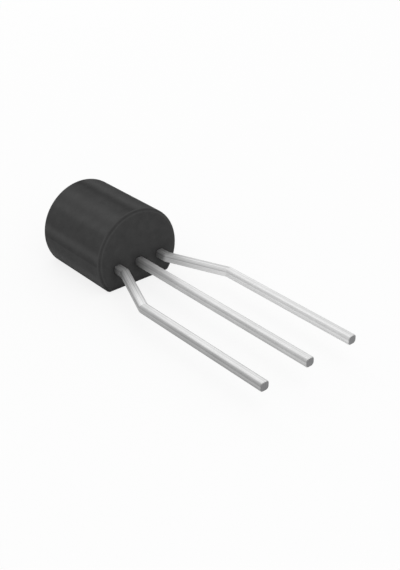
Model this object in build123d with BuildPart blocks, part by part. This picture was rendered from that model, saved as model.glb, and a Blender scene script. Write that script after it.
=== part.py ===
"""Three-terminal voltage regulator in a half-round moulded package with splayed leads.

The part lies on its flat side. Frame, in millimetres: the origin is the centre of the flat side,
+Z runs up through the round back, -Y runs out along the leads, and X runs across the row of leads.

A strip-metal lead frame gives three leads in one plane. The centre lead widens into a paddle that
carries the silicon die, and each outer lead widens into a flag that takes a bond wire. The body is
moulded round all of that in one shot, so it is one solid with their shapes left in it as cavities.
"""

import os
from math import atan2, degrees, hypot

from build123d import *

# ---------------------------------------------------------------- driving dimensions
# Moulded body
body_width = 4.66  # across the round side
body_depth = 3.83  # from the flat side to the crown of the round side
body_height = 4.84  # from the face the leads leave to the top face
body_round = 0.20  # edge round, the same on every outer edge of the moulding

# Lead frame strip
strip_thickness = 0.43
lead_width = 0.45
lead_corner = 0.14  # the strip's edges are coined round
lead_level = 1.16  # lead frame mid-plane above the flat side

# Lead row, measured along -Y from the face the leads leave
inner_pitch = 1.27  # between leads at the body
outer_pitch = 2.54  # between leads after forming
stub_length = 0.54  # straight length before an outer lead turns outwards
splay_length = 3.63  # distance at which an outer lead turns back parallel
lead_length = 11.36  # distance to the cut tips
bend_radius = 0.30  # on the lead's centre line
tip_break = 0.02  # worn edge of the cut tips

# Lead frame inside the body, measured along +Y from the face the leads leave
frame_corner = 0.10
paddle_width, paddle_length = 1.90, 1.95
paddle_from_exit = 2.30
flag_width, flag_length = 1.10, 0.85
flag_from_exit = 1.10
flag_inner_edge = 0.62  # from the middle of the part to the nearer edge of a flag

# Die and the layer that fixes it to the paddle
die_width, die_length, die_thickness = 1.20, 1.05, 0.25
die_back_gap = 0.15  # paddle left bare behind the die
attach_margin = 0.05
attach_thickness = 0.03

# Bond wires
wire_diameter = 0.05
ball_diameter, ball_height = 0.12, 0.035
stitch_length, stitch_width, stitch_height = 0.16, 0.10, 0.02
loop_height = 0.20  # top of a wire's loop above the die
loop_radius = 0.07
landing_rise = 0.05  # height from which a wire comes down on its stitch
landing_run = 0.14
pad_inset = 0.13  # from the die's edges to the middle of a bond pad

# ---------------------------------------------------------------- derived places
body_radius = body_width / 2
exit_y = -body_height / 2
tip_y = exit_y - lead_length
strip_bottom = lead_level - strip_thickness / 2
strip_top = lead_level + strip_thickness / 2
attach_top = strip_top + attach_thickness
die_top = attach_top + die_thickness

paddle_y = exit_y + paddle_from_exit + paddle_length / 2
flag_x = flag_inner_edge + flag_width / 2
flag_y = exit_y + flag_from_exit + flag_length / 2
die_y = paddle_y + paddle_length / 2 - die_back_gap - die_length / 2
pad_x = die_width / 2 - pad_inset
pad_y = die_y - die_length / 2 + pad_inset
ledge_y = (paddle_y - paddle_length / 2 + die_y - die_length / 2 - attach_margin) / 2


def build_lead(label: str, corners: list, shape: tuple, width: float, length: float) -> Part:
    """One lead: a formed strip from its cut tip to the stamped shape it widens into.

    corners are the centre line's corners from the inside out, shape is the middle of the stamped
    shape, and width and length are that shape's size.
    """
    start_x, start_y = corners[0]
    with BuildPart() as lead:
        with BuildLine(Plane.XY.offset(lead_level)):
            if len(corners) > 2:
                FilletPolyline(*corners, radius=bend_radius)
            else:
                Line(*corners)
        with BuildSketch(Plane.XZ.offset(-start_y)):
            with Locations((start_x, lead_level)):
                RectangleRounded(lead_width, strip_thickness, lead_corner)
        sweep()
        with BuildSketch(Plane.XY.offset(strip_bottom)):
            with Locations(shape):
                RectangleRounded(width, length, frame_corner)
        extrude(amount=strip_thickness)
        chamfer(lead.faces().sort_by(Axis.Y)[0].edges(), tip_break)
    lead.part.label = label
    return lead.part


def build_outer_lead(label: str, side: int) -> Part:
    """An outer lead, on the +X side for 1 and on the -X side for -1."""
    corners = [
        (side * inner_pitch, flag_y),
        (side * inner_pitch, exit_y - stub_length),
        (side * outer_pitch, exit_y - splay_length),
        (side * outer_pitch, tip_y),
    ]
    return build_lead(label, corners, (side * flag_x, flag_y), flag_width, flag_length)


def build_bond_wire(label: str, pad: tuple, landing: tuple) -> Part:
    """One bond wire: a ball on the die, a loop, and a stitch pressed flat on the lead frame."""
    run_x, run_y = landing[0] - pad[0], landing[1] - pad[1]
    run = hypot(run_x, run_y)
    along = Vector(run_x, run_y, 0).normalized()
    # The loop's own plane has x along the run and y upwards, level 0 being the strip's top.
    loop_plane = Plane(origin=(*pad, strip_top), x_dir=along, z_dir=along.cross(Vector(0, 0, 1)))
    die_rise = die_top - strip_top
    with BuildPart() as wire:
        with BuildLine(loop_plane) as route:
            FilletPolyline(
                (0, die_rise + ball_height / 2),
                (0, die_rise + loop_height),
                (run - landing_run, landing_rise),
                (run, stitch_height / 2),
                radius=loop_radius,
            )
        with BuildSketch(Plane(origin=route.line @ 0, z_dir=route.line % 0)):
            Circle(wire_diameter / 2)
        sweep()
        with BuildSketch(Plane.XY.offset(die_top)):
            with Locations(pad):
                Circle(ball_diameter / 2)
        extrude(amount=ball_height)
        with BuildSketch(Plane.XY.offset(strip_top)):
            with Locations(Location((*landing, 0), (0, 0, degrees(atan2(run_y, run_x))))):
                Ellipse(stitch_length / 2, stitch_width / 2)
        extrude(amount=stitch_height)
        split(bisect_by=Plane.XY.offset(strip_top), keep=Keep.TOP)
    wire.part.label = label
    return wire.part


# ---------------------------------------------------------------- lead frame
ground_lead = build_lead(
    "ground_lead", [(0, paddle_y), (0, tip_y)], (0, paddle_y), paddle_width, paddle_length
)
output_lead = build_outer_lead("output_lead", 1)
input_lead = build_outer_lead("input_lead", -1)

# ---------------------------------------------------------------- die and its fixing layer
with BuildPart() as die_attach:
    with BuildSketch(Plane.XY.offset(strip_top)):
        with Locations((0, die_y)):
            RectangleRounded(
                die_width + 2 * attach_margin, die_length + 2 * attach_margin, attach_margin
            )
    extrude(amount=attach_thickness)
die_attach.part.label = "die_attach"

with BuildPart() as regulator_die:
    with BuildSketch(Plane.XY.offset(attach_top)):
        with Locations((0, die_y)):
            Rectangle(die_width, die_length)
    extrude(amount=die_thickness)
regulator_die.part.label = "regulator_die"

# ---------------------------------------------------------------- bond wires
output_bond_wire = build_bond_wire("output_bond_wire", (pad_x, pad_y), (flag_x, flag_y))
ground_bond_wire = build_bond_wire("ground_bond_wire", (0, pad_y), (0, ledge_y))
input_bond_wire = build_bond_wire("input_bond_wire", (-pad_x, pad_y), (-flag_x, flag_y))

# ---------------------------------------------------------------- moulded body
embedded = [
    output_lead,
    ground_lead,
    input_lead,
    die_attach.part,
    regulator_die.part,
    output_bond_wire,
    ground_bond_wire,
    input_bond_wire,
]
with BuildPart() as moulded_body:
    with BuildSketch(Plane.XZ.offset(exit_y)):
        with Locations((0, body_depth - body_radius)):
            Circle(body_radius)
        with Locations((0, body_depth / 2)):
            Rectangle(body_width, body_depth, mode=Mode.INTERSECT)
    extrude(amount=body_height)
    fillet(moulded_body.edges(), body_round)
    for piece in embedded:
        add(piece, mode=Mode.SUBTRACT)
moulded_body.part.label = "moulded_body"

# ---------------------------------------------------------------- export
os.makedirs("parts", exist_ok=True)
for piece in [moulded_body.part, *embedded]:
    export_step(piece, f"parts/{piece.label}.step")
    print(f"{piece.label}: {len(piece.solids())} solid, {piece.volume:.4f} mm3")
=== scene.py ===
# %% [markdown]
# # A three-lead voltage regulator
# A small black moulded package with three tinned leads lies on its flat side. The lesson builds its
# visible skin over the imported CAD model, gives each piece the material that it is really made of, and
# lights it as a small product shot.
#
# The first cell loads the CAD model and prints the size of its box.

# %% Load the CAD model
from math import atan2, cos, degrees, pi, radians, sin, tan

import bmesh
import bpy
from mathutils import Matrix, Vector
from mathutils.geometry import normal


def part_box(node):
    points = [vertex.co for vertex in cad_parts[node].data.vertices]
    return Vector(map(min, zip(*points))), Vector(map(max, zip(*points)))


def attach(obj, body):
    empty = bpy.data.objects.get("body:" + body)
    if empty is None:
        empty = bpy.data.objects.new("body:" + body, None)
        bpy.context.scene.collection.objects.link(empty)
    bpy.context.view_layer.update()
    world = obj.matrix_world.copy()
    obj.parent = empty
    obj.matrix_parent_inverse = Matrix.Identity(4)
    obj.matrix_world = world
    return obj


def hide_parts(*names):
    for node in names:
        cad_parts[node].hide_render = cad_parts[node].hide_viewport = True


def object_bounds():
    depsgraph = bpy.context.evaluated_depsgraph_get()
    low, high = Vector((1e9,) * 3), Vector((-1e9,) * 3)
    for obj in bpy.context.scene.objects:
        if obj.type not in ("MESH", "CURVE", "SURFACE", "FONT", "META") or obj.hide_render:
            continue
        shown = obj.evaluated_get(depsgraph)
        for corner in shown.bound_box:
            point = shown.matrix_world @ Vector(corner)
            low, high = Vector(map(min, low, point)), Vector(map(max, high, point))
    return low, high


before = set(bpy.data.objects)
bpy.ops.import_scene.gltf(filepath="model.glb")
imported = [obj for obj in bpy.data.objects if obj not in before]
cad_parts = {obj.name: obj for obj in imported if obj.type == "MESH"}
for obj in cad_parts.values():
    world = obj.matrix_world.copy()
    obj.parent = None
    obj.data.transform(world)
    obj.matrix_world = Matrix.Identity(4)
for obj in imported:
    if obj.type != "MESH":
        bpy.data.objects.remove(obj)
cad_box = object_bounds()
MM = 0.001  # one millimetre in Blender's metres

cad_size = (cad_box[1] - cad_box[0]) / MM
print("CAD nodes:", sorted(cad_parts))
print("CAD size in mm:", [round(side, 3) for side in cad_size])

# %% [markdown]
# ## Measuring the CAD nodes
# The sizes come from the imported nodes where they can, so the skin lands on the solids with no
# fitting. What a box can't tell, such as an edge round or where a lead bends, is written here.
# Those numbers are the drawing's own, in millimetres.


# %% Read places off the CAD nodes
def box_mm(node):
    """Lowest and highest corner of a CAD node, in millimetres."""
    low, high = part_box(node)
    return Vector(low) / MM, Vector(high) / MM


body_low, body_high = box_mm("moulded_body")
outer_low, outer_high = box_mm("output_lead")

lead_level = (outer_low.z + outer_high.z) / 2
strip_thickness = outer_high.z - outer_low.z
exit_y, tip_y = body_low.y, outer_low.y
print("lead level", round(lead_level, 3), "exit", round(exit_y, 3), "tips", round(tip_y, 3))

# %% Write down what a box can't tell
edge_round = 0.20
lead_width = 0.45
lead_corner = 0.14
inner_pitch, outer_pitch = 1.27, 2.54
stub_length, splay_length = 0.54, 3.63  # from the body to an outer lead's first and second bend
bend_radius = 0.30
tip_break = 0.02
print("a lead is", lead_width, "wide, and its bends are", bend_radius, "mm round")

# %% Place the wide shapes inside the body
frame_corner = 0.10
flag_width, flag_length = 1.10, 0.85
flag_inner_edge, flag_from_exit = 0.62, 1.10
paddle_width, paddle_length = 1.90, 1.95
paddle_from_exit = 2.30

flag_x = flag_inner_edge + flag_width / 2
flag_y = exit_y + flag_from_exit + flag_length / 2
paddle_y = exit_y + paddle_from_exit + paddle_length / 2
print("flags at", round(flag_x, 3), round(flag_y, 3), "and the paddle at", round(paddle_y, 3))

# %% [markdown]
# ## The camera
# The camera looks down on the part from the side of its leads, a little left of them. It comes
# first, so that every later step can be judged through it. The lens is long enough to keep the
# leads nearly parallel, as on a real macro bench.

# %% Set up the camera
camera_place = Vector((-23.92, -34.89, 22.86)) * MM
camera_turn, camera_height = -40.55, 29.81  # degrees round the part, and above the bench

camera_data = bpy.data.cameras.new("bench camera")
camera_data.sensor_width = 36
camera_data.lens = 59.73
camera_data.clip_start, camera_data.clip_end = 1 * MM, 2000 * MM
camera = bpy.data.objects.new("bench camera", camera_data)
camera.location = camera_place
camera.rotation_euler = (radians(90 - camera_height), 0, radians(camera_turn))
bpy.context.scene.collection.objects.link(camera)
bpy.context.scene.camera = camera
print("camera stands", round(camera_place.length / MM, 1), "mm from the part")

# %% [markdown]
# ## One way to skin a solid
# The body and the leads are both stacks of closed outlines: a half-round outline stacked along the
# body, and a small rounded rectangle stacked along each lead. So one helper skins a stack. A
# modifier could round the edges too, but a stack gives the exact normal of every point, which keeps
# reflections on the long flat faces clean.
#
# Each point brings its normal. The helper also writes a UV map in millimetres, lengthwise along the
# stack and round the outline, which a drawn or brushed finish follows round bends.


# %% Skin a stack of outlines
def skin(shape, stack, first_cap=0, last_cap=0):
    """Adds a closed skin to a bmesh. stack is a list of outlines, each a list of (point, normal).

    Seen from where the stack is going, an outline runs anticlockwise.
    """
    exact = shape.verts.layers.float_vector["exact_normal"]
    lengthwise = shape.loops.layers.uv["lengthwise"]

    def add_vertex(point, facing):
        vertex = shape.verts.new(point * MM)
        vertex[exact] = facing
        return vertex

    rings = [[add_vertex(*pair) for pair in outline] for outline in stack]
    count = len(stack[0])
    middles = [sum((point for point, _ in outline), Vector()) / count for outline in stack]
    along = [0.0]
    for before, after in zip(middles, middles[1:]):
        along.append(along[-1] + (after - before).length)
    girth = [0.0]
    for place in range(count):
        step = stack[0][(place + 1) % count][0] - stack[0][place][0]
        girth.append(girth[-1] + step.length)
    for level in range(len(rings) - 1):
        for place in range(count):
            corners = [(level, place), (level, place + 1), (level + 1, place + 1), (level + 1, place)]
            face = shape.faces.new([rings[row][column % count] for row, column in corners])
            for loop, (row, column) in zip(face.loops, corners):
                loop[lengthwise].uv = (along[row], girth[column])
    for outline, away, slot in ((stack[0], -1, first_cap), (stack[-1], 1, last_cap)):
        facing = away * normal([point for point, _ in outline])
        cap = shape.faces.new([add_vertex(point, facing) for point, _ in outline][::away])
        cap.material_index = slot
        for loop in cap.loops:
            place = loop.vert.co / MM
            loop[lengthwise].uv = (place.x + place.y, place.z)


def new_shape():
    """An empty bmesh with the two layers that skin() fills."""
    shape = bmesh.new()
    shape.verts.layers.float_vector.new("exact_normal")
    shape.loops.layers.uv.new("lengthwise")
    return shape


# %% Turn a skin into an object
same_place = 1e-5 * MM  # points nearer than this are one


def finish_shape(shape, name, node):
    """Makes the object, gives it exact normals, and has it stand for its CAD node."""
    bmesh.ops.dissolve_degenerate(shape, dist=same_place, edges=shape.edges)
    exact = shape.verts.layers.float_vector["exact_normal"]
    normals = [vertex[exact].normalized() for vertex in shape.verts]
    mesh = bpy.data.meshes.new(name)
    shape.to_mesh(mesh)
    shape.free()
    mesh.shade_smooth()
    mesh.normals_split_custom_set_from_vertices(normals)
    piece = bpy.data.objects.new(name, mesh)
    bpy.context.scene.collection.objects.link(piece)
    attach(piece, "root")
    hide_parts(node)
    print(name, "has", len(mesh.polygons), "faces")
    return piece


# %% [markdown]
# ## The moulded body
# The package is moulded in one shot from a black epoxy filled with ground silica. It is a cylinder
# with one flat side, and every edge has the small round that lets it leave the mould. A cylinder
# that is cut flat and bevelled would be quicker, but its rounds meet unevenly at the corners.
#
# So the edge round is made as a ball rolls it: the outline is drawn in by the radius, and then
# pushed out again by a little less at each step towards the end face. Where the round side meets
# the flat one, the pushed-out outline turns the corner on its own arc.


# %% Draw the half-round outline
def arc_places(first, last, steps):
    """Angles in radians from first to last, both included, given in degrees."""
    return [radians(first + (last - first) * step / steps) for step in range(steps + 1)]


body_radius = (body_high.x - body_low.x) / 2
axis_z = body_high.z - body_radius
inner_radius = body_radius - edge_round
inner_flat = body_low.z + edge_round
drop = axis_z - inner_flat
reach = (inner_radius**2 - drop**2) ** 0.5
corner_turn = degrees(atan2(drop, reach))  # how far below level the corner lies, seen from the axis
round_steps, corner_steps, flat_steps = 220, 10, 24


def body_outline():
    """Points of the drawn-in outline with the way each is pushed out, in the XZ plane."""
    outline = []
    for turn in arc_places(-corner_turn, 180 + corner_turn, round_steps):
        outward = Vector((cos(turn), 0, sin(turn)))
        outline.append((Vector((0, 0, axis_z)) + outward * inner_radius, outward))
    for turn in arc_places(180 + corner_turn, 270, corner_steps)[1:]:
        outline.append((Vector((-reach, 0, inner_flat)), Vector((cos(turn), 0, sin(turn)))))
    for step in range(1, flat_steps):
        place = Vector((-reach + 2 * reach * step / flat_steps, 0, inner_flat))
        outline.append((place, Vector((0, 0, -1))))
    for turn in arc_places(270, 360 - corner_turn, corner_steps)[:-1]:
        outline.append((Vector((reach, 0, inner_flat)), Vector((cos(turn), 0, sin(turn)))))
    return outline


print("body radius", round(body_radius, 3), "corner", round(corner_turn, 1), "degrees below level")

# %% Stack the outline along the body
half_length = (body_high.y - body_low.y) / 2
middle_y = (body_high.y + body_low.y) / 2
edge_steps, side_steps = 10, 20


def body_ring(along, pushed, tilt):
    """The outline at one place, pushed out by a distance, with normals tilted towards an end."""
    lean = Vector((0, sin(tilt), 0))
    return [
        (Vector((place.x, along, place.z)) + outward * pushed, outward * cos(tilt) + lean)
        for place, outward in body_outline()
    ]


body_stack = []
for tilt in arc_places(90, 0, edge_steps):
    along = middle_y + half_length - edge_round * (1 - sin(tilt))
    body_stack.append(body_ring(along, edge_round * cos(tilt), tilt))
for step in range(1, side_steps):
    along = middle_y + (half_length - edge_round) * (1 - 2 * step / side_steps)
    body_stack.append(body_ring(along, edge_round, 0))
for tilt in arc_places(0, -90, edge_steps):
    along = middle_y - half_length + edge_round * (1 + sin(tilt))
    body_stack.append(body_ring(along, edge_round * cos(tilt), tilt))

body_shape = new_shape()
skin(body_shape, body_stack)
body = finish_shape(body_shape, "body_moulding", "moulded_body")

# %% [markdown]
# ## The leads
# The leads are stamped from steel strip, moulded in, plated with tin where they stand out of the
# body, and trimmed to length. The two outer ones are then bent outwards and back, so that the row
# fits the holes of a board. A lead is one small outline carried along its centre line. A curve with
# a bevel would do that too, but it tilts its outline at tight bends, while a stack keeps the
# strip's thickness true.


# %% Draw a lead's outline
def rounded_rectangle(width, height, corner, steps=6):
    """Points and normals of a rounded rectangle, as (across, up) pairs."""
    pairs = []
    for turn, side, top in ((0, 1, 1), (90, -1, 1), (180, -1, -1), (270, 1, -1)):
        centre = (side * (width / 2 - corner), top * (height / 2 - corner))
        for angle in arc_places(turn, turn + 90, steps):
            outward = (cos(angle), sin(angle))
            point = (centre[0] + corner * outward[0], centre[1] + corner * outward[1])
            pairs.append((point, outward))
    return pairs


def lead_ring(middle, heading, shrink=0.0):
    """The lead's outline at one place of its centre line, looking along a heading in degrees."""
    across = Vector((-sin(radians(heading)), cos(radians(heading)), 0))
    up = Vector((0, 0, 1))
    outline = rounded_rectangle(lead_width - 2 * shrink, strip_thickness - 2 * shrink, lead_corner)
    return [
        (middle + across * point[0] + up * point[1], across * outward[0] + up * outward[1])
        for point, outward in outline
    ]


print("a lead's outline has", len(lead_ring(Vector(), 0)), "points")


# %% Carry the outline along a bent centre line
def lead_stack(corners, bend_steps=8):
    """Outlines along a centre line of straight runs, with a round of bend_radius at each corner."""
    headings = [
        degrees(atan2(after.y - before.y, after.x - before.x))
        for before, after in zip(corners, corners[1:])
    ]
    stack = [lead_ring(corners[0], headings[0])]
    for place in range(1, len(corners) - 1):
        turn = headings[place] - headings[place - 1]
        set_back = bend_radius * tan(radians(abs(turn)) / 2)
        back = (corners[place - 1] - corners[place]).normalized()
        start = corners[place] + back * set_back
        side = 1 if turn > 0 else -1
        first = radians(headings[place - 1] + 90 * side)
        centre = start + Vector((cos(first), sin(first), 0)) * bend_radius
        for angle in arc_places(headings[place - 1], headings[place], bend_steps):
            outward = Vector((sin(angle), -cos(angle), 0)) * side
            stack.append(lead_ring(centre + outward * bend_radius, degrees(angle)))
    last = (corners[-1] - corners[-2]).normalized()
    stack.append(lead_ring(corners[-1] - last * tip_break, headings[-1]))
    stack.append(lead_ring(corners[-1], headings[-1], shrink=tip_break))
    return stack


# %% Add the wide shape inside the body
def slab_stack(middle, width, length):
    """A flag or paddle of the strip: a rounded rectangle with the strip's thickness."""
    stack = []
    for level in (lead_level - strip_thickness / 2, lead_level + strip_thickness / 2):
        stack.append(
            [
                (Vector((middle[0] + x, middle[1] + y, level)), Vector((*outward, 0)))
                for (x, y), outward in rounded_rectangle(width, length, frame_corner)
            ]
        )
    return stack


# %% Make the three leads
hold = 0.03  # mm that the strip reaches into its wide shape, so that the two join


def make_lead(name, node, bends, wide_place, wide_width, wide_length):
    """A lead from its wide shape to its cut tip. bends are its centre line's places outside."""
    shape = new_shape()
    start = (bends[0][0], wide_place[1] - wide_length / 2 + hold)
    line = [Vector((x, y, lead_level)) for x, y in (start, *bends)]
    skin(shape, lead_stack(line), last_cap=1)
    skin(shape, slab_stack(wide_place, wide_width, wide_length))
    return finish_shape(shape, name, node)


leads = []
for name, node, side in (("output", "output_lead", 1), ("input", "input_lead", -1)):
    bends = [
        (side * inner_pitch, exit_y - stub_length),
        (side * outer_pitch, exit_y - splay_length),
        (side * outer_pitch, tip_y),
    ]
    place = (side * flag_x, flag_y)
    leads.append(make_lead(f"{name}_lead_strip", node, bends, place, flag_width, flag_length))

place = (0, paddle_y)
leads.append(
    make_lead("ground_lead_strip", "ground_lead", [(0, tip_y)], place, paddle_width, paddle_length)
)

# %% [markdown]
# ## Colours and nodes
# Colours are picked as sRGB hex values, as a colour card gives them, and Blender's shaders want
# them linear. One function turns them. A second one adds a node, fills in its settings and joins
# its inputs, so each finish below reads as a short list of what it is made of. The rest start a
# material, set the stops of a colour ramp, and give the part's own coordinates in millimetres,
# because the patterns are sized in them.


# %% Turn a colour card's value into a shader's
def colour(hex_value):
    """An sRGB hex value such as '#8c8c8e' as linear red, green, blue and an alpha of 1."""
    channels = [int(hex_value[at : at + 2], 16) / 255 for at in (1, 3, 5)]
    linear = [c / 12.92 if c <= 0.04045 else ((c + 0.055) / 1.055) ** 2.4 for c in channels]
    return (*linear, 1.0)


# %% Add a node
def add(tree, kind, settings=None, links=None):
    """Adds a node. settings are inputs or properties by name, and links are inputs to outputs."""
    node = tree.nodes.new(kind)
    for name, value in (settings or {}).items():
        if isinstance(name, int) or name in node.inputs:
            node.inputs[name].default_value = value
        else:
            setattr(node, name, value)
    for name, output in (links or {}).items():
        tree.links.new(output, node.inputs[name])
    return node


def start_material(name):
    """A new material with an empty tree."""
    material = bpy.data.materials.new(name)
    material.use_nodes = True
    material.node_tree.nodes.clear()
    return material, material.node_tree


def own_millimetres(tree):
    """The part's own coordinates in millimetres."""
    own = add(tree, "ShaderNodeTexCoord")
    scaled = add(tree, "ShaderNodeVectorMath", {"operation": "SCALE", "Scale": 1 / MM},
                 {"Vector": own.outputs["Object"]})
    return scaled.outputs[0]


def set_stops(ramp, stops):
    """Sets a colour ramp's stops from (position, grey level) pairs."""
    while len(ramp.elements) < len(stops):
        ramp.elements.new(0.5)
    for element, (position, level) in zip(ramp.elements, stops):
        element.position = position
        element.color = (level, level, level, 1)


print("a mid grey of #808080 is", round(colour("#808080")[0], 4), "in linear light")

# %% [markdown]
# ## Moulded epoxy
# Moulding compound is epoxy resin packed with ground silica and a little carbon black. The mould's
# spark-eroded surface gives it a fine matt grain, so it is nearly black with a soft, wide sheen.
# Lighter bands of sheen run along the body. They are painted into its colour, and the surface is a
# little less rough where they are brightest. The edge round gets painted highlights along both
# sides and painted shade between.
#
# An even black would look like a hole in the picture, and a noise alone would miss the bands. So
# the painted sheen bands are drawn by the angle round the body's axis, which a radial gradient
# gives, and the painted edge highlights by how far the surface has turned towards an end. The grain
# is a noise at the grit's own size. All of them change colour and roughness only a little.

# %% Place the painted sheen bands round the body
# The bands' colour is painted sheen, and the surface is a little less rough where they are bright.
sheen_bands = [  # degrees round the axis from +X, and how polished: 0 dull, 1 bright
    (-170, 0.50),
    (-158, 0.90),
    (-90, 0.60),
    (-20, 0.80),
    (4, 0.45),
    (18, 0.80),
    (34, 0.50),
    (52, 0.60),
    (66, 0.10),
    (84, 0.55),
    (94, 0.05),
    (103, 0.38),
    (117, 0.80),
    (126, 0.62),
    (135, 0.80),
    (144, 0.42),
    (160, 0.37),
    (168, 0.80),
    (178, 0.27),
]
print(len(sheen_bands), "places round the body")

# %% Place the painted highlights across the edge round
# Painted highlight and shade across the edge round, by how far it has turned. The roughness follows a
# little.
edge_highlights = [  # turn towards an end, 0 on the side and 1 on the end face, and how polished
    (0.00, 0.60),
    (0.15, 0.75),
    (0.38, 0.55),
    (0.55, 0.20),
    (0.75, 0.15),
    (0.93, 0.60),
    (0.99, 0.42),
    (1.00, 0.35),
]
side_end = 0.12  # turn at which the painted edge highlights have taken over from the sheen bands
print(len(edge_highlights), "places across the edge round")

# %% Settle the epoxy's grain
grit = 0.07  # mm, one grain of the mould's eroded surface
mottle = 0.5  # mm, a patch where the silica lies thicker
grain_relief = 0.006  # mm, the depth of the grain
mottle_weight, grain_weight = 0.55, 0.30
epoxy_dull, epoxy_bright = 0.25, 1.55  # least and most of bands, mottle and grain added up
print("a grain of", grit, "mm in patches of", mottle, "mm")

# %% Start the epoxy with its bands
epoxy, tree = start_material("moulded_epoxy")
in_mm = own_millimetres(tree)
parts = add(tree, "ShaderNodeSeparateXYZ", links={"Vector": in_mm})
height = add(tree, "ShaderNodeMath", {"operation": "SUBTRACT", 1: axis_z}, {0: parts.outputs["Z"]})
round_axis = add(tree, "ShaderNodeCombineXYZ",
                 links={"X": parts.outputs["X"], "Y": height.outputs[0]})
turn = add(tree, "ShaderNodeTexGradient", {"gradient_type": "RADIAL"},
           {"Vector": round_axis.outputs[0]})
bands = add(tree, "ShaderNodeValToRGB", links={"Fac": turn.outputs["Fac"]})
bands.color_ramp.interpolation = "EASE"
set_stops(bands.color_ramp, [(0.5 + angle / 360, level) for angle, level in sheen_bands])
print("the bands take", len(tree.nodes), "nodes")

# %% Add the painted edge highlights
surface = add(tree, "ShaderNodeNewGeometry")
facing = add(tree, "ShaderNodeSeparateXYZ", links={"Vector": surface.outputs["Normal"]})
to_end = add(tree, "ShaderNodeMath", {"operation": "ABSOLUTE"}, {0: facing.outputs["Y"]})
edge = add(tree, "ShaderNodeValToRGB", links={"Fac": to_end.outputs[0]})
set_stops(edge.color_ramp, edge_highlights)
off_side = add(tree, "ShaderNodeMapRange", {"From Min": 0.0, "From Max": side_end},
               {"Value": to_end.outputs[0]})
# Painted sheen: the bands give way to the painted edge highlights towards an end.
painted_sheen = add(tree, "ShaderNodeMix", {"data_type": "FLOAT"},
           {"Factor": off_side.outputs[0], "A": bands.outputs["Color"], "B": edge.outputs["Color"]})
print("with the rubbed edge,", len(tree.nodes), "nodes")

# %% Add mottle and grain
cloud = add(tree, "ShaderNodeTexNoise", {"Scale": 1 / mottle, "Detail": 4.0, "Roughness": 0.6},
            {"Vector": in_mm})
grain = add(tree, "ShaderNodeTexNoise", {"Scale": 1 / grit, "Detail": 2.0, "Roughness": 0.6},
            {"Vector": in_mm})
clouded = add(tree, "ShaderNodeMath", {"operation": "MULTIPLY_ADD", 1: mottle_weight},
              {0: cloud.outputs["Fac"], 2: painted_sheen.outputs["Result"]})
sheen_and_grain = add(tree, "ShaderNodeMath", {"operation": "MULTIPLY_ADD", 1: grain_weight},
             {0: grain.outputs["Fac"], 2: clouded.outputs[0]})
relief = add(tree, "ShaderNodeBump", {"Strength": 0.35, "Distance": grain_relief * MM},
             {"Height": grain.outputs["Fac"]})
print("with mottle and grain,", len(tree.nodes), "nodes")

# %% Colour the epoxy
tone = add(tree, "ShaderNodeMapRange", {"From Min": epoxy_dull, "From Max": epoxy_bright},
           {"Value": sheen_and_grain.outputs[0]})
shade = add(tree, "ShaderNodeMix",
            {"data_type": "RGBA", "A": colour("#303030"), "B": colour("#505050")},
            {"Factor": tone.outputs[0]})
# Painted shade: the epoxy is darker where other surfaces stand close, as where a lead leaves the body.
corner_shade, corner_shade_reach = 0.6, 0.5  # how much of it, and how far in mm it spreads
corner_occlusion = add(tree, "ShaderNodeAmbientOcclusion", {"Distance": corner_shade_reach * MM, "samples": 8},
              {"Color": shade.outputs["Result"]})
corner_shaded = add(tree, "ShaderNodeMix", {"data_type": "RGBA", "Factor": corner_shade},
              {"A": shade.outputs["Result"], "B": corner_occlusion.outputs["Color"]})
print("dirt spreads", corner_shade_reach, "mm")

# %% Finish the epoxy
gloss = add(tree, "ShaderNodeMapRange",
            {"From Min": epoxy_dull, "From Max": epoxy_bright, "To Min": 0.78, "To Max": 0.66},
            {"Value": sheen_and_grain.outputs[0]})
epoxy_shader = add(tree, "ShaderNodeBsdfPrincipled", {"IOR": 1.55, "Specular IOR Level": 0.02},
                   {"Base Color": corner_shaded.outputs["Result"], "Roughness": gloss.outputs[0],
                    "Normal": relief.outputs[0]})
add(tree, "ShaderNodeOutputMaterial", links={"Surface": epoxy_shader.outputs[0]})
body.data.materials.append(epoxy)
print("moulded epoxy:", len(tree.nodes), "nodes")

# %% [markdown]
# ## Tin plate
# The strip is plated with a few micrometres of matt tin, which solders well and keeps bright. It
# is a whitish metal with a soft reflection. Rolling leaves fine lines along the strip, and the
# forming tool drags finer lines along the outer leads, from the body to the second bend. Coining
# the strip's edges round leaves a duller line at each one. The rest is painted light and shade:
# the tops are painted lighter than the sides, the cut sides lighter from the left lead to the
# right, and the outer leads' tops near the body lighter on the left lead than on the right.
# Beside the body the tin is painted darker, where the body shades it.
#
# An anisotropic shader could show the rolling, but it blurs all of the reflection and leaves no
# lines. So the lines are drawn on the UV map, lengthwise and round the outline in millimetres, and
# bend with the lead. A noise that is stretched along the strip draws the rolled ones, a finer one
# the dragged ones, and a ramp round the outline draws the duller edge lines and the painted light
# on the tops.

# %% Place the edge lines and the painted light on the tops
strip_girth = 2 * (lead_width + strip_thickness) - (8 - 2 * pi) * lead_corner
# Round the outline: duller lines at the coined edges, and the tops painted lighter than the sides and
# the bottom, as a painted highlight.
edge_lines_and_lit_tops = [  # mm round the outline from one side face, and how bright the plate is there
    (0.00, 0.5),
    (0.14, 0.2),
    (0.19, 0.8),
    (0.25, 0.9),
    (0.30, 0.7),
    (0.35, 0.9),
    (0.42, 0.8),
    (0.47, 0.2),
    (0.58, 0.1),
    (0.65, 0.6),
    (0.74, 0.6),
    (0.78, 0.1),
    (0.82, 0.7),
    (0.95, 0.5),
    (1.16, 0.5),
    (1.28, 0.7),
    (1.32, 0.1),
    (1.37, 0.6),
    (1.48, 0.6),
]
print("the strip is", round(strip_girth, 2), "mm round")

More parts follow.
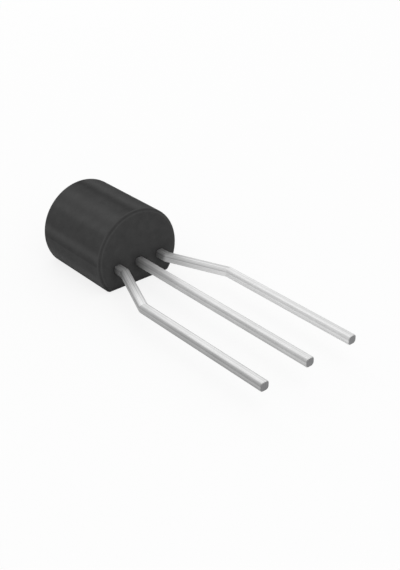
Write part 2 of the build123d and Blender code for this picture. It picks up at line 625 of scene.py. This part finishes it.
# %% Settle the sizes of the other marks
line_width, drag_width, line_length = 0.08, 0.05, 15.0  # mm; real lines are finer, and wouldn't show
line_relief = 0.006  # mm
patch = 1.2  # mm, where handling has dulled the tin
body_shade_length = 3.6  # mm of lead beside the body that is painted darker, where the body shades it
body_shade_stops = [(0.0, 0.65), (0.07, 0.50), (0.22, 0.22), (0.40, 0.14), (0.70, 0.05), (1.0, 0.0)]
print("rolled lines of", line_width, "mm and dragged lines of", drag_width, "mm")

# %% Settle how much each mark counts
rolled_weight, drag_weight, edge_lines_and_lit_weight, patch_weight = 1.2, 2.4, 0.42, 0.25
# The next two set painted light and shade: on the cut sides, and on the outer leads' tops near the
# body.
side_shade_slope = 0.12  # on the cut sides, for each mm along the row
top_shade_slope = 0.10  # on the outer leads' tops, for each mm along the row
tin_dull, tin_bright = 0.28, 1.33  # least and most of all the marks added up
print("the tin's marks run from", tin_dull, "to", tin_bright)

# %% Start the tin with its rolled and coined lines
tin, tree = start_material("tin_plated_steel")
run = add(tree, "ShaderNodeUVMap", {"uv_map": "lengthwise"})
stretched = add(tree, "ShaderNodeMapping",
                {"Scale": (1 / line_length, 1 / line_width, 1.0)}, {"Vector": run.outputs[0]})
lines = add(tree, "ShaderNodeTexNoise", {"Scale": 1.0, "Detail": 3.0, "Roughness": 0.6},
            {"Vector": stretched.outputs[0]})
around = add(tree, "ShaderNodeSeparateXYZ", links={"Vector": run.outputs[0]})
place_round = add(tree, "ShaderNodeMath", {"operation": "DIVIDE", 1: strip_girth},
                  {0: around.outputs["Y"]})
# Duller edge lines, with a painted highlight on the tops.
edge_lines_and_lit_top = add(tree, "ShaderNodeValToRGB", links={"Fac": place_round.outputs[0]})
set_stops(edge_lines_and_lit_top.color_ramp, [(distance / strip_girth, level) for distance, level in edge_lines_and_lit_tops])
print("the lines take", len(tree.nodes), "nodes")

# %% Add the dull patches
in_mm = own_millimetres(tree)
dulled = add(tree, "ShaderNodeTexNoise", {"Scale": 1 / patch, "Detail": 4.0, "Roughness": 0.6},
             {"Vector": in_mm})
faint = add(tree, "ShaderNodeMath", {"operation": "MULTIPLY", 1: patch_weight},
            {0: dulled.outputs["Fac"]})
edge_lines_lit_tops_and_patches = add(tree, "ShaderNodeMath", {"operation": "MULTIPLY_ADD", 1: edge_lines_and_lit_weight},
                 {0: edge_lines_and_lit_top.outputs["Color"], 2: faint.outputs[0]})
print("with the patches,", len(tree.nodes), "nodes")

# %% Add the painted light and shade on the cut sides
parts = add(tree, "ShaderNodeSeparateXYZ", links={"Vector": in_mm})
surface = add(tree, "ShaderNodeNewGeometry")
facing = add(tree, "ShaderNodeSeparateXYZ", links={"Vector": surface.outputs["Normal"]})
on_side = add(tree, "ShaderNodeMath", {"operation": "ABSOLUTE"}, {0: facing.outputs["X"]})
# Painted light and shade: the cut sides get lighter from the left lead to the right.
side_shade = add(tree, "ShaderNodeMath", {"operation": "MULTIPLY"},
              {0: on_side.outputs[0], 1: parts.outputs["X"]})
marks_and_side_shade = add(tree, "ShaderNodeMath", {"operation": "MULTIPLY_ADD", 1: side_shade_slope},
                {0: side_shade.outputs[0], 2: edge_lines_lit_tops_and_patches.outputs[0]})
print("with the cut sides,", len(tree.nodes), "nodes")

# %% Find where the forming tool held the leads
off_middle = add(tree, "ShaderNodeMath", {"operation": "ABSOLUTE"}, {0: parts.outputs["X"]})
outer = add(tree, "ShaderNodeMath", {"operation": "GREATER_THAN", 1: inner_pitch / 2},
            {0: off_middle.outputs[0]})
near = add(tree, "ShaderNodeMath", {"operation": "GREATER_THAN", 1: exit_y - splay_length},
           {0: parts.outputs["Y"]})
held = add(tree, "ShaderNodeMath", {"operation": "MULTIPLY"},
           {0: outer.outputs[0], 1: near.outputs[0]})
print("the tool held the outer leads for", splay_length, "mm")

# %% Add the forming tool's marks and the painted shade on the tops
narrow = add(tree, "ShaderNodeMapping",
             {"Scale": (1 / line_length, 1 / drag_width, 1.0)}, {"Vector": run.outputs[0]})
drags = add(tree, "ShaderNodeTexNoise", {"Scale": 1.0, "Detail": 1.0, "Roughness": 0.5},
            {"Vector": narrow.outputs[0]})
# Painted light and shade: near the body the outer leads' tops are darker on the right lead and lighter
# on the left.
on_top = add(tree, "ShaderNodeMath", {"operation": "MULTIPLY"},
             {0: facing.outputs["Z"], 1: parts.outputs["X"]})
# Half the weight comes off, so that the lines leave the plate's mean as it is.
painted_light_and_shade = add(tree, "ShaderNodeMath",
             {"operation": "MULTIPLY_ADD", 1: -top_shade_slope, 2: -drag_weight / 2},
             {0: on_top.outputs[0]})
marks = add(tree, "ShaderNodeMath", {"operation": "MULTIPLY_ADD", 1: drag_weight},
            {0: drags.outputs["Fac"], 2: painted_light_and_shade.outputs[0]})
formed = add(tree, "ShaderNodeMath", {"operation": "MULTIPLY_ADD"},
             {0: marks.outputs[0], 1: held.outputs[0], 2: marks_and_side_shade.outputs[0]})
print("with the forming marks,", len(tree.nodes), "nodes")

# %% Colour the tin, with painted shade beside the body
plate = add(tree, "ShaderNodeMath", {"operation": "MULTIPLY_ADD", 1: rolled_weight},
            {0: lines.outputs["Fac"], 2: formed.outputs[0]})
tin_tone = add(tree, "ShaderNodeMapRange", {"From Min": tin_dull, "From Max": tin_bright},
               {"Value": plate.outputs[0]})
tin_shade = add(tree, "ShaderNodeMix",
                {"data_type": "RGBA", "A": colour("#9a9a9a"), "B": colour("#e8e8e8")},
                {"Factor": tin_tone.outputs[0]})
# Painted shade: beside the body the tin is mixed towards a dark grey, as the body shades it.
from_body = add(tree, "ShaderNodeMapRange",
                {"From Min": exit_y, "From Max": exit_y - body_shade_length},
                {"Value": parts.outputs["Y"]})
grey = add(tree, "ShaderNodeValToRGB", links={"Fac": from_body.outputs[0]})
set_stops(grey.color_ramp, body_shade_stops)
greyed = add(tree, "ShaderNodeMix", {"data_type": "RGBA", "B": colour("#4a4a4a")},
             {"Factor": grey.outputs["Color"], "A": tin_shade.outputs["Result"]})
print("the grey fades out over", body_shade_length, "mm")

# %% Finish the tin plate
tin_gloss = add(tree, "ShaderNodeMapRange",
                {"From Min": tin_dull, "From Max": tin_bright, "To Min": 0.54, "To Max": 0.64},
                {"Value": plate.outputs[0]})
tin_relief = add(tree, "ShaderNodeBump", {"Strength": 0.5, "Distance": line_relief * MM},
                 {"Height": lines.outputs["Fac"]})
tin_shader = add(tree, "ShaderNodeBsdfPrincipled",
                 {"Metallic": 1.0, "Specular Tint": colour("#c4c4c4")},
                 {"Base Color": greyed.outputs["Result"], "Roughness": tin_gloss.outputs[0],
                  "Normal": tin_relief.outputs[0]})
add(tree, "ShaderNodeOutputMaterial", links={"Surface": tin_shader.outputs[0]})
print("tin plate:", len(tree.nodes), "nodes")

# %% [markdown]
# ## Bare steel at the cut ends
# The leads are cut off after plating, so the cut face has no tin. It is grey sheared steel: the
# blade drags fine lines down it, and the face is duller than the plate round it. One grey would
# look like a painted dot at this size, so a noise that is narrow across the row and long down the
# face draws the lines.

# %% Make the sheared steel
blade_line, blade_run = 0.03, 0.4  # mm across and down the face; a real blade's lines are finer
steel, tree = start_material("sheared_steel")
dragged = add(tree, "ShaderNodeMapping", {"Scale": (1 / blade_line, 1.0, 1 / blade_run)},
              {"Vector": own_millimetres(tree)})
drag = add(tree, "ShaderNodeTexNoise", {"Scale": 1.0, "Detail": 3.0, "Roughness": 0.6},
           {"Vector": dragged.outputs[0]})
steel_shade = add(tree, "ShaderNodeMix",
                  {"data_type": "RGBA", "A": colour("#707071"), "B": colour("#9c9c9d")},
                  {"Factor": drag.outputs["Fac"]})
steel_relief = add(tree, "ShaderNodeBump", {"Strength": 0.4, "Distance": line_relief * MM},
                   {"Height": drag.outputs["Fac"]})
steel_shader = add(tree, "ShaderNodeBsdfPrincipled", {"Metallic": 1.0, "Roughness": 0.55},
                   {"Base Color": steel_shade.outputs["Result"], "Normal": steel_relief.outputs[0]})
add(tree, "ShaderNodeOutputMaterial", links={"Surface": steel_shader.outputs[0]})

for lead in leads:
    lead.data.materials.append(tin)
    lead.data.materials.append(steel)
print("sheared steel on", len(leads), "cut ends")

# %% [markdown]
# ## The silicon die
# The die, the adhesive under it and the bond wires are sealed in, and show only when the body is
# taken away. They keep their CAD shapes and get their own finishes.
#
# A die is polished silicon, which shines almost as a metal does, with the circuit's blocks in a
# glassy top layer. Its lines are far too fine to see, but its blocks show as small patches of
# other blue-greys. A brick pattern gives such blocks with bright tracks between them, which a
# noise wouldn't.

# %% Make the silicon
block_width, block_height, track = 0.14, 0.09, 0.006  # mm
silicon, tree = start_material("patterned_silicon")
blocks = add(tree, "ShaderNodeTexBrick",
             {"Color1": colour("#2c3138"), "Color2": colour("#4a4f58"), "Mortar": colour("#8d9098"),
              "Scale": 1.0, "Mortar Size": track, "Brick Width": block_width,
              "Row Height": block_height},
             {"Vector": own_millimetres(tree)})
silicon_shader = add(tree, "ShaderNodeBsdfPrincipled",
                     {"Metallic": 0.4, "Roughness": 0.16, "Coat Weight": 0.5},
                     {"Base Color": blocks.outputs["Color"]})
add(tree, "ShaderNodeOutputMaterial", links={"Surface": silicon_shader.outputs[0]})
print("silicon in blocks of", block_width, "by", block_height, "mm")

# %% [markdown]
# ## The silver adhesive
# The die stands on a dull paste of epoxy and silver flakes. Each flake lies at its own angle, so
# the paste glitters a little. A Voronoi pattern has a cell for each flake, where a noise would give
# soft clouds.

# %% Make the silver adhesive
flake = 0.03  # mm, coarser than a real flake, which wouldn't show
silver, tree = start_material("silver_filled_adhesive")
flakes = add(tree, "ShaderNodeTexVoronoi", {"Scale": 1 / flake}, {"Vector": own_millimetres(tree)})
silver_shade = add(tree, "ShaderNodeMix",
                   {"data_type": "RGBA", "A": colour("#8f8d86"), "B": colour("#c9c8c2")},
                   {"Factor": flakes.outputs["Distance"]})
silver_shader = add(tree, "ShaderNodeBsdfPrincipled", {"Metallic": 0.7, "Roughness": 0.6},
                    {"Base Color": silver_shade.outputs["Result"]})
add(tree, "ShaderNodeOutputMaterial", links={"Surface": silver_shader.outputs[0]})
print("silver in flakes of", flake, "mm")

# %% [markdown]
# ## The gold wires
# A bond wire is pure gold, drawn through a die until it is finer than a hair. It is smooth and
# bright, with faint changes of tone where the die rubbed it. A noise finer than the wire is wide
# gives those, on a metal of low roughness.

# %% Make the gold
rub = 0.02  # mm
gold, tree = start_material("drawn_gold")
draw = add(tree, "ShaderNodeTexNoise", {"Scale": 1 / rub, "Detail": 2.0},
           {"Vector": own_millimetres(tree)})
gold_shade = add(tree, "ShaderNodeMix",
                 {"data_type": "RGBA", "A": colour("#d9a441"), "B": colour("#f2c868")},
                 {"Factor": draw.outputs["Fac"]})
gold_shader = add(tree, "ShaderNodeBsdfPrincipled", {"Metallic": 1.0, "Roughness": 0.22},
                  {"Base Color": gold_shade.outputs["Result"]})
add(tree, "ShaderNodeOutputMaterial", links={"Surface": gold_shader.outputs[0]})
print("gold rubbed every", rub, "mm")

# %% Hand the inner finishes out
inner_finishes = {
    "regulator_die": silicon,
    "die_attach": silver,
    "output_bond_wire": gold,
    "ground_bond_wire": gold,
    "input_bond_wire": gold,
}
for node, finish in inner_finishes.items():
    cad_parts[node].data.materials.clear()
    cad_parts[node].data.materials.append(finish)
    print(node, "gets", finish.name)

# %% [markdown]
# ## The bench
# The part lies on a plain white sheet, which takes its shadow. More lamps would whiten the sheet,
# but they would wash out the part as well. So the paper also glows, for rays that show it to the
# eye, straight or in a reflection, and the light on the part stays as it was.

# %% Lay the white sheet
sheet_half = 400 * MM
sheet_gap = 0.002 * MM  # keeps the sheet clear of the flat side
below = body_low.z * MM - sheet_gap
sheet_corners = [(-sheet_half, -sheet_half, below), (sheet_half, -sheet_half, below),
                 (sheet_half, sheet_half, below), (-sheet_half, sheet_half, below)]
sheet_mesh = bpy.data.meshes.new("white_sheet")
sheet_mesh.from_pydata(sheet_corners, [], [(0, 1, 2, 3)])
sheet = bpy.data.objects.new("white_sheet", sheet_mesh)
bpy.context.scene.collection.objects.link(sheet)
print("the sheet is", round(2 * sheet_half / MM), "mm square")


# %% Make the paper
def seen_directly(tree):
    """1 for rays that show a surface to the eye, straight or in a reflection, and 0 for light."""
    path = add(tree, "ShaderNodeLightPath")
    first = add(tree, "ShaderNodeMath", {"operation": "ADD", "use_clamp": True},
                {0: path.outputs["Is Camera Ray"], 1: path.outputs["Is Glossy Ray"]})
    both = add(tree, "ShaderNodeMath", {"operation": "ADD", "use_clamp": True},
               {0: first.outputs[0], 1: path.outputs["Is Transmission Ray"]})
    return both.outputs[0]


glow_share = 0.82  # the rest of what the camera sees is the lit paper, which holds the shadow
paper, tree = start_material("white_paper")
share = add(tree, "ShaderNodeMath", {"operation": "MULTIPLY", 1: glow_share},
            {0: seen_directly(tree)})
lit = add(tree, "ShaderNodeBsdfDiffuse", {"Color": colour("#fafafa")})
glow = add(tree, "ShaderNodeEmission", {"Color": colour("#ffffff"), "Strength": 1.0})
sheet_look = add(tree, "ShaderNodeMixShader",
                 links={0: share.outputs[0], 1: lit.outputs[0], 2: glow.outputs[0]})
add(tree, "ShaderNodeOutputMaterial", links={"Surface": sheet_look.outputs[0]})
sheet_mesh.materials.append(paper)
print("the paper glows for", round(100 * glow_share), "percent of its look")

# %% [markdown]
# ## The light
# A white room gives an even light, and three square softboxes shape it: one behind the part draws
# the sheen along its round side, one overhead lights the tops of the leads, and one in front lifts
# the faces that look at the camera. A sun or a bare bulb would be simpler, but its reflection in
# the tin would be a hard spark.

# %% Light the room
room_light = 0.7

room = bpy.data.worlds.new("white_room")
room.use_nodes = True
tree = room.node_tree
tree.nodes.clear()
dim = add(tree, "ShaderNodeBackground", {"Color": colour("#ffffff"), "Strength": room_light})
white = add(tree, "ShaderNodeBackground", {"Color": colour("#ffffff"), "Strength": 1.0})
look = add(tree, "ShaderNodeMixShader",
           links={0: seen_directly(tree), 1: dim.outputs[0], 2: white.outputs[0]})
add(tree, "ShaderNodeOutputWorld", links={"Surface": look.outputs[0]})
bpy.context.scene.world = room
print("the room lights the part at", room_light)

# %% Hang the softboxes
aim = Vector((0, -5, 1)) * MM  # near the middle of the part
softbox_side = 120 * MM


def softbox(name, turn, height, distance, brightness):
    """A square lamp that faces the part, from a distance in mm and two angles in degrees.

    turn runs round the part from -Y towards +X, and height is above the bench. The brightness is
    that of the lamp's face, where 1 is a white one.
    """
    away = Vector((
        sin(radians(turn)) * cos(radians(height)),
        -cos(radians(turn)) * cos(radians(height)),
        sin(radians(height)),
    ))
    lamp_data = bpy.data.lights.new(name, "AREA")
    lamp_data.shape = "SQUARE"
    lamp_data.size = softbox_side
    lamp_data.energy = brightness * pi * softbox_side**2
    lamp = bpy.data.objects.new(name, lamp_data)
    lamp.location = aim + away * distance * MM
    lamp.rotation_euler = (-away).to_track_quat("-Z", "Y").to_euler()
    bpy.context.scene.collection.objects.link(lamp)
    print(name, "gives", round(lamp_data.energy * 1000), "milliwatts")


softbox("softbox_back", turn=158, height=26, distance=160, brightness=1.2)
softbox("softbox_overhead", turn=20, height=75, distance=170, brightness=0.75)
softbox("softbox_front", turn=-15, height=35, distance=170, brightness=0.9)

# %% [markdown]
# ## Finish
# The picture keeps the plain Standard view, so a colour comes out as it was picked.

# %% Set the view and finish
bpy.context.scene.view_settings.view_transform = "Standard"
